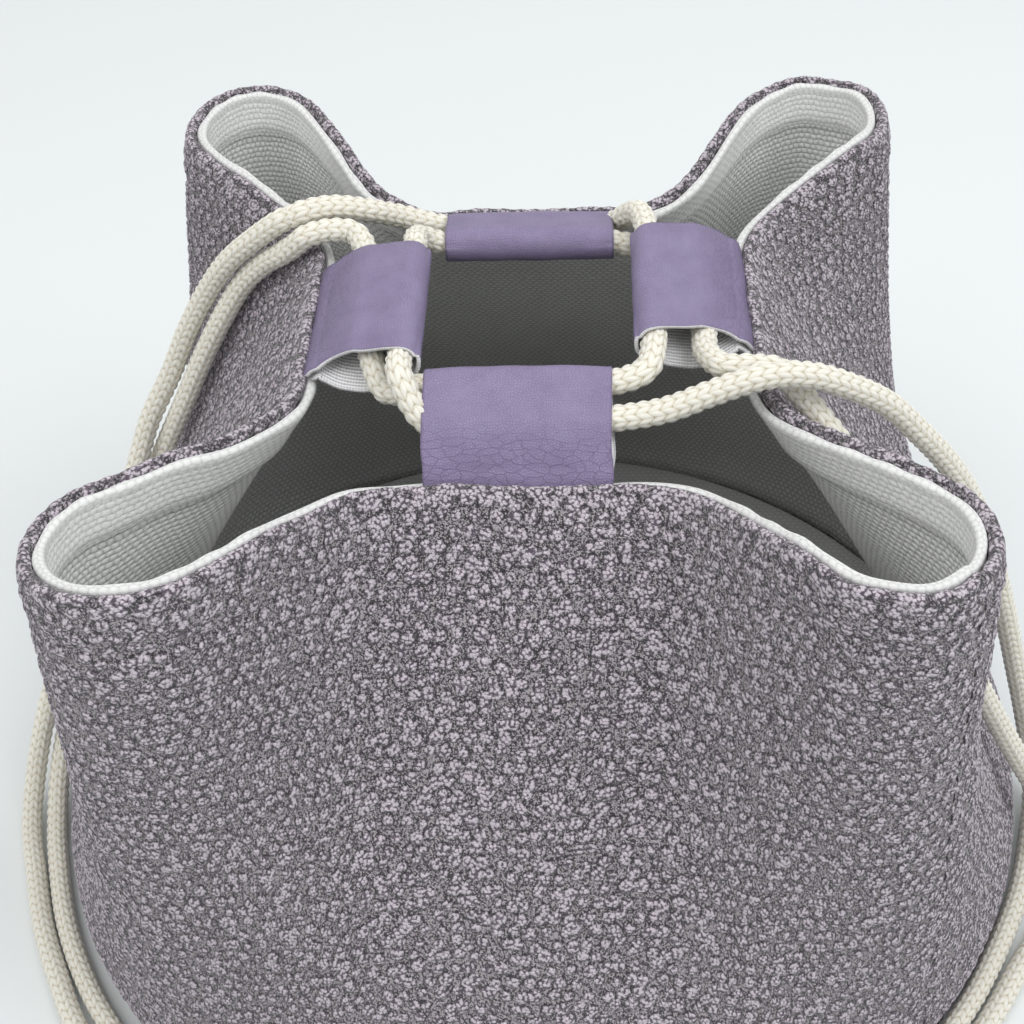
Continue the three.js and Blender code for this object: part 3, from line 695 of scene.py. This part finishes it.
def wall_layer(name, side, outer, inner, foot, spacing, rows, edge, relief):
    """One quarter of a layer of the wall, from lobe tip to lobe tip: up its outside, over its edge, and down its
    inside."""
    centre = sides.index(side) * quarter
    reach = tip_way if side in ("right", "left") else quarter - tip_way
    along = np.linspace(centre - reach, centre + reach, int(2 * reach / spacing) + 1)[:, None]
    top = rim_height(along)
    half = (inner - outer) / 2
    up = np.linspace(1, 0, rows)[None, :]
    out_depth = half + up * (top - foot - half)
    out_depth, out_inset = np.broadcast_arrays(out_depth, np.full_like(up, outer))
    turn = np.linspace(0, np.pi, edge)[None, 1:-1]
    edge_depth, edge_inset = np.broadcast_arrays(
        half - half * np.sin(turn) + top * 0, outer + half - half * np.cos(turn)
    )
    down = np.linspace(0, 1, 46)[None, :] ** 1.3
    in_depth = half + down * (top - foot - half)
    in_depth, in_inset = np.broadcast_arrays(in_depth, np.full_like(down, inner))
    depth = np.hstack([out_depth, edge_depth, in_depth, out_depth[:, :1]])
    inset = np.hstack([out_inset, edge_inset, in_inset, out_inset[:, :1]])
    wide = np.broadcast_to(along, depth.shape)
    normal = wall_normal(wide, depth)
    slack = folds(wide, depth, np.broadcast_to(top, depth.shape))
    points = wall_place(wide, depth, 1.0) + normal * (slack - inset)[..., None]
    way = np.cumsum(np.linalg.norm(np.diff(points, axis=1, prepend=points[:, :1]), axis=-1), axis=1)
    flat_down = -(way - way[:, rows - 1 : rows])
    out = np.cross(np.gradient(points, axis=0), np.gradient(points, axis=1))
    out /= np.maximum(np.linalg.norm(out, axis=-1, keepdims=True), 1e-12)
    amount, nubs = relief(wide, flat_down, depth)
    if nubs is not None:
        amount[:, rows + edge + 2 : -1] = 0
    amount[:, -1] = amount[:, 0]
    points = points + out * amount[..., None]
    flat = np.stack([wide, flat_down], -1)
    values = {"way": layer_share(wide, depth, inset, side, normal)}
    if nubs is not None:
        values["nub"] = nubs
    return laid_faces(name, points, flat, closed_along=True, values=values)


def chenille_relief(along, down, depth):
    hem = -0.0006 * np.exp(-((depth - 0.0145) / 0.0016) ** 2) + 0.0004 * np.exp(-((depth - 0.0085) / 0.004) ** 2)
    nubs = nub_height(along, down)
    standing = 0.0003 + 0.0004 * ease(depth, 0.0015, 0.006)
    return (nubs - 0.5) * standing + hem, nubs


for side in sides:
    piece = wall_layer(
        f"outer_cloth_{side}", side, 0, cloth_thickness, 0.0033, 0.0008,
        222, 11, chenille_relief,
    )
    piece.data.materials.append(chenille)
    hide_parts("outer_back_panel" if side == "back" else "outer_front_panel")
    if side in ("right", "left"):
        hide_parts("outer_back_panel")
    follow_by(piece, lambda own: own)

# Lining: coarse grey canvas in a basket weave, a size smaller than the outer cloth, its top edge rolled over and
# felled in a hem as deep as a thumb's width.
canvas_light, canvas_dark = (0.93, 0.945, 0.92, 1), (0.64, 0.645, 0.63, 1)
rolled_light, rolled_dark = (0.71, 0.72, 0.71, 1), (0.52, 0.53, 0.52, 1)
# The deep colours are painted shade, for the canvas low down inside the bag where little light reaches.
deep_shade_light, deep_shade_dark = (0.60, 0.605, 0.59, 1), (0.40, 0.405, 0.395, 1)
bundle_wide, bundle_deep = 0.00215, 0.00180

canvas, shader = finish_of("lining canvas", Roughness=0.9, Sheen_Weight=0.1)
place, around, down = map_of(shader)
uneven = place.node("ShaderNodeTexNoise", None, {"Vector": place, "Scale": 260, "Detail": 2})
fibre = place.node("ShaderNodeTexNoise", None, {"Vector": place, "Scale": 2400, "Detail": 3, "Roughness": 0.7})
rolled = 1 - (down * -1 + (fibre - 0.5) * 0.002).step(0.0044, 0.0054)
pick = (down + (uneven - 0.5) * 0.0013) / bundle_deep
end = (around + (uneven - 0.5) * 0.0017) / bundle_wide + pick.sum("FLOOR") * 0.5
off_end, off_pick = end.sum("FRACT") - 0.5, pick.sum("FRACT") - 0.5
bundle = 1 - (off_end * off_end * 3.6 + off_pick * off_pick * 3.0)
hemmed = (down * -1).step(0.0160, 0.0175) * 0.5 + 0.5
woven = (bundle * hemmed + (1 - hemmed) * 0.7 + (fibre - 0.5) * 1.1).step(0.05, 0.85)
# Painted shade: the canvas darkens towards the deep colours further down inside the bag.
low = (down * -1).step(0.055, 0.130)
connect(
    shader,
    Base_Color=rolled.mix(
        low.mix(woven.mix(canvas_dark, canvas_light), woven.mix(deep_shade_dark, deep_shade_light)),
        woven.mix(rolled_dark, rolled_light),
    ),
    Normal=bump(bundle * hemmed * (1 - rolled * 0.5) + fibre * 0.7, 0.7, 0.0005),
)


def lining_relief(along, down, depth):
    roll = 0.00018 * np.sin(along * 420 + 3 * np.sin(along * 90)) * (1 - ease(depth, 0, 0.006))
    below_hem = -0.0011 * ease(depth, 0.0120, 0.0140) + 0.0004 * np.exp(-(((depth - 0.0105) / 0.0018) ** 2))
    return roll + below_hem * (down < -0.002), None


for side in sides:
    piece = wall_layer(
        f"lining_cloth_{side}", side, 0.0035, 0.0061, 0.0066, 0.0020, 56, 13, lining_relief
    )
    piece.data.materials.append(canvas)
    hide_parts("lining_back_panel" if side == "back" else "lining_front_panel")
    if side in ("right", "left"):
        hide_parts("lining_back_panel")
    follow_by(piece, lambda own: own)

# Bottom: a round of chenille outside, a stiffening board, and a round of canvas inside, on which the wall's
# layers stand. The board keeps its solid.
def round_cloth(name, radius, low, high, edge, finish, node, wave):
    turn = np.linspace(0, 2 * np.pi, 145)[:, None]
    corner_turn = np.linspace(-np.pi / 2, np.pi / 2, 7)
    rings = 30
    reach = np.concatenate([
        np.linspace(0, radius - edge, rings), radius - edge + edge * np.cos(corner_turn[1:-1]),
        np.linspace(radius - edge, 0, rings),
    ])[None, :]
    half = (high - low) / 2
    height = np.concatenate([
        np.full(rings, low), (low + high) / 2 + half * np.sin(corner_turn[1:-1]), np.full(rings, high)
    ])
    height = height[None, :] + wave * (np.sin(3 * turn + reach * 90) - 1) * np.sin(reach / radius * np.pi) * (
        height[None, :] > (low + high) / 2
    )
    points = np.stack(np.broadcast_arrays(reach * np.cos(turn), reach * np.sin(turn), height), -1)
    points[-1] = points[0]
    nubs = nub_height(points[..., 0], points[..., 1])
    piece = laid_faces(name, points, points[..., :2], closed_across=True, closed_along=True, values={"nub": nubs})
    piece.data.materials.append(finish)
    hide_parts(node)
    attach(piece, "bag_body")


round_cloth("bottom_outside", 0.1463, 0, 0.003, 0.0014, chenille, "outer_base", 0.0001)
round_cloth("bottom_inside", 0.1411, 0.0056, 0.0071, 0.0007, canvas, "lining_base", 0.0004)

board, shader = finish_of("bottom board", Roughness=0.75)
place = Shade(shader.id_data.nodes.new("ShaderNodeTexCoord").outputs["Object"])
pulp = place.node("ShaderNodeTexNoise", None, {"Vector": place, "Scale": 500, "Detail": 4})
connect(
    shader, Base_Color=pulp.step(0.3, 0.7).mix((0.20, 0.19, 0.17, 1), (0.30, 0.285, 0.26, 1)),
    Normal=bump(pulp, 0.3, 0.0003),
)
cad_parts["base_board"].data.materials.clear()
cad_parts["base_board"].data.materials.append(board)

# Loops: four strips of purple synthetic leather with a ribbed white knit on the back, 44 mm wide. Each is folded
# over the two cords, and both ends are sewn in between the cloth and the lining.
leather_thickness = 0.001
loop_width, loop_length = 0.044, 0.0265
loop_tilts = {"right": 17, "left": 17, "back": 15, "front": 25}
mouth_half, mouth_flare = 0.0037, 0.0105
tongue_depth, tongue_rise, tongue_bend = 0.008, 0.0014, 0.004
fold_way = loop_length - leather_thickness - mouth_half

leather, shader = finish_of("purple leather", Coat_Roughness=0.45, Specular_IOR_Level=0.42)
place, across, along = map_of(shader)
pebbles = place.node(
    "ShaderNodeTexVoronoi", {"voronoi_dimensions": "2D", "feature": "DISTANCE_TO_EDGE"},
    {"Vector": place, "Scale": 1500, "Randomness": 1.0},
)
grain = pebbles.step(0.0, 0.22)
stretched = place.node("ShaderNodeMapping", None, {"Vector": place, "Scale": (400, 820, 1)})
bent = place.node("ShaderNodeTexNoise", None, {"Vector": stretched, "Scale": 0.7, "Detail": 3}, output=1)
warped = place.node("ShaderNodeMix", {"data_type": "VECTOR"}, {0: 0.55, 4: stretched, 5: bent}, output=1)
crease = place.node(
    "ShaderNodeTexVoronoi", {"voronoi_dimensions": "2D", "feature": "DISTANCE_TO_EDGE"},
    {"Vector": warped, "Scale": 1.4, "Randomness": 1.0},
)
near_root = (along * -1 + 0.026).step(0.0, 0.013)
creased = 1 - crease.step(0.0, 0.06)
creases = creased * near_root
soft = place.node("ShaderNodeTexNoise", None, {"Vector": place, "Scale": 120, "Detail": 4, "Roughness": 0.6})
# Painted shade: the leather is darker near the root, where the wall shades it, and darker still in its creases
# there.
leather_tone_and_shade = ((soft - 0.5) * 0.9 + grain * 0.35 + 0.33 - creases * 0.30 - near_root * 0.25).step(0.0, 1.0)
connect(
    shader,
    Base_Color=leather_tone_and_shade.mix((0.158, 0.126, 0.222, 1), (0.252, 0.213, 0.345, 1)),
    Roughness=0.58 - grain * 0.12 + (soft - 0.5) * 0.15,
    Normal=bump(grain * 0.35 + soft * 0.4 - creases * 0.8, 0.6, 0.0004),
)

ribbed, shader = finish_of("knit backing", Roughness=0.9, Sheen_Weight=0.1)
place, across, along = map_of(shader)
rib = (across * (2 * math.pi / 0.0011)).sum("SINE")
rows = (along * (2 * math.pi / 0.0007)).sum("SINE")
nap = place.node("ShaderNodeTexNoise", None, {"Vector": place, "Scale": 1800, "Detail": 2})
rib_tone = (rib * 0.32 + rows * 0.10 + nap * 0.5 + 0.3).step(0.0, 0.95)
connect(
    shader, Base_Color=rib_tone.mix((0.40, 0.40, 0.42, 1), (0.80, 0.80, 0.81, 1)),
    Normal=bump(rib * 0.6 + rows * 0.2 + nap * 0.3, 0.6, 0.0003),
)


def loop_line(side):
    """Middle of the folded strip, in metres inwards and up from the outer edge of the rim at its seam."""
    centre = np.array([sides.index(side) * quarter])
    foot, top = wall_place(centre, np.array([hem_depth]), 1.0)[0], wall_place(centre, np.array([0.0]), 1.0)[0]
    lean = math.atan2(math.hypot(foot[0] - top[0], foot[1] - top[1]), top[2] - foot[2])
    wall = np.array([math.sin(lean), math.cos(lean)])
    across = np.array([wall[1], -wall[0]])
    root = across * (cloth_thickness + 0.00015)
    bend_centre = root + wall * tongue_rise + across * tongue_bend
    first = math.pi / 2 - lean
    tilt = math.radians(loop_tilts[side])
    layer = []
    for way in np.linspace(-tongue_depth, tongue_rise, 8):
        layer.append((root + wall * way, wall, 0.0))
    for angle in np.linspace(first, tilt, 7)[1:]:
        direction = np.array([math.cos(angle), math.sin(angle)])
        layer.append((bend_centre + np.array([-direction[1], direction[0]]) * tongue_bend, direction, 0.0))
    start = layer[-1][0]
    forward = np.array([math.cos(tilt), math.sin(tilt)])
    for way in np.linspace(0, fold_way, 24)[1:]:
        layer.append((start + forward * way, forward, mouth_half * min(1, way / mouth_flare) ** 0.8))
    over = [point + np.array([-d[1], d[0]]) * (half + leather_thickness / 2) for point, d, half in layer]
    under = [point - np.array([-d[1], d[0]]) * (half + leather_thickness / 2) for point, d, half in layer]
    up = np.array([-forward[1], forward[0]])
    reach = mouth_half + leather_thickness / 2
    fold = [
        layer[-1][0] + reach * (forward * math.cos(angle) + up * math.sin(angle))
        for angle in np.linspace(math.pi / 2, -math.pi / 2, 13)[1:-1]
    ]
    line = np.array(over + fold + under[::-1])
    way = np.concatenate([[0], np.cumsum(np.linalg.norm(np.diff(line, axis=0), axis=1))])
    ways = np.linspace(0, way[-1], 150)
    return np.stack([np.interp(ways, way, line[:, 0]), np.interp(ways, way, line[:, 1])], -1), ways


def waviness(x, y, seed):
    return (
        np.sin(x * 310 + seed) * np.sin(y * 170 + 2 * seed) + 0.6 * np.sin(x * 520 - y * 240 + 3 * seed)
        + 0.5 * np.sin(y * 640 + x * 130 + seed)
    )


# The loops' uneven places, in metres: each is moved along its seam, slanted more the further it reaches, its
# two layers set apart from each other, and its under layer hangs lower at one end.
sewn_half = 0.0215
loop_moves = {"front": 0.0, "left": 0.0010, "right": 0.0095, "back": -0.0013}
loop_turns = {"front": 0.0, "left": 0.0055, "right": -0.0095, "back": 0.0}
skews = {"front": -0.0009, "left": -0.0024, "right": 0.0024, "back": 0.0008}
droops = {"front": 0, "left": 0.0024, "right": -0.0024, "back": 0}
for side in sides:
    line, ways = loop_line(side)
    total = ways[-1]
    centre = wall_place(np.array([sides.index(side) * quarter]), np.array([0.0]), 1.0)[0]
    inward = -centre * [1, 1, 0] / np.linalg.norm(centre[:2])
    along_seam = np.cross(inward, [0, 0, 1])
    tangent = np.gradient(line, axis=0)
    tangent /= np.linalg.norm(tangent, axis=1, keepdims=True)
    out = np.stack([-tangent[:, 1], tangent[:, 0]], -1)
    share = ways / total
    free = ease(ways, 0.011, 0.018) * ease(total - ways, 0.011, 0.018)
    across = np.linspace(-loop_width / 2, loop_width / 2, 56)[:, None]
    seed = 1.7 * sides.index(side) + 0.9
    ruffle = waviness(across, ways[None, :], seed) * 0.00007 * (free[None, :] + 0.15)
    curl = -0.0007 * (np.abs(across) / (loop_width / 2)) ** 4 * free[None, :] * (share[None, :] < 0.5)
    across_share = across / (loop_width / 2)
    sag = -0.0004 * np.exp(-(((ways - loop_length) / 0.0035) ** 2))[None, :] * (1 - 0.3 * across_share**2)
    droop = droops[side] * across / loop_width * np.sin(np.pi * np.clip((share - 0.53) / 0.42, 0, 1))[None, :]
    offset = ruffle + curl + sag + droop + np.abs(droop)
    flat_points = line[None, :, :] + out[None, :, :] * offset[..., None]
    shift = (skews[side] * np.cos(share * np.pi) * free + 0.0002 * np.sin(ways * 95 + seed) * free)[None, :]
    seam_way = across + shift + loop_moves[side] + loop_turns[side] * np.clip(line[None, :, 0] / loop_length, 0, 1)
    sewn = 1 - ease(ways, 0.006, 0.009) * ease(total - ways, 0.006, 0.009)
    seam_way += (np.clip(seam_way, -sewn_half, sewn_half) - seam_way) * sewn[None, :]
    points = (
        centre + flat_points[..., :1] * inward + flat_points[..., 1:] * np.array([0, 0, 1.0])
        + seam_way[..., None] * along_seam
    )
    flat = np.stack(np.broadcast_arrays(across, ways[None, :]), -1)
    piece = laid_faces(f"leather_loop_{side}", points, flat, capped=False)
    bend = piece.modifiers.new("thickness", "SOLIDIFY")
    bend.thickness = leather_thickness * 0.96
    bend.offset = 0
    bend.material_offset = 1
    bend.material_offset_rim = 1
    piece.data.materials.append(leather)
    piece.data.materials.append(ribbed)
    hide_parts(f"loop_{side}")
    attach(piece, f"loop_{side}")

# Stage: a plain pale floor, soft light from above and from both sides.
floor_form = bmesh.new()
bmesh.ops.create_grid(floor_form, x_segments=2, y_segments=2, size=6)
floor_mesh = bpy.data.meshes.new("floor")
floor_form.to_mesh(floor_mesh)
floor_form.free()
floor = bpy.data.objects.new("floor", floor_mesh)
bpy.context.collection.objects.link(floor)
pale, shader = finish_of("pale floor", Base_Color=(0.70, 0.735, 0.74, 1), Roughness=0.9)
floor.data.materials.append(pale)

world = bpy.data.worlds.new("studio")
world.use_nodes = True
world.node_tree.nodes["Background"].inputs[0].default_value = (1, 1, 1, 1)
world.node_tree.nodes["Background"].inputs[1].default_value = 0.72
bpy.context.scene.world = world
for place, size, power, colour in (
    ((-0.55, -0.55, 1.3), 1.0, 8.0, (1, 0.99, 0.975)),
    ((0.75, -0.35, 1.15), 0.9, 8.6, (0.98, 0.985, 1)),
    ((0.1, 0.9, 1.2), 0.8, 2, (1, 1, 1)),
):
    lamp = bpy.data.lights.new("softbox", "AREA")
    lamp.size = size
    lamp.energy = power
    lamp.color = colour
    lit = bpy.data.objects.new("softbox", lamp)
    lit.location = place
    lit.rotation_euler = (Vector((0, 0, 0.08)) - Vector(place)).to_track_quat("-Z", "Y").to_euler()
    bpy.context.collection.objects.link(lit)

bpy.context.scene.view_settings.view_transform = "Standard"
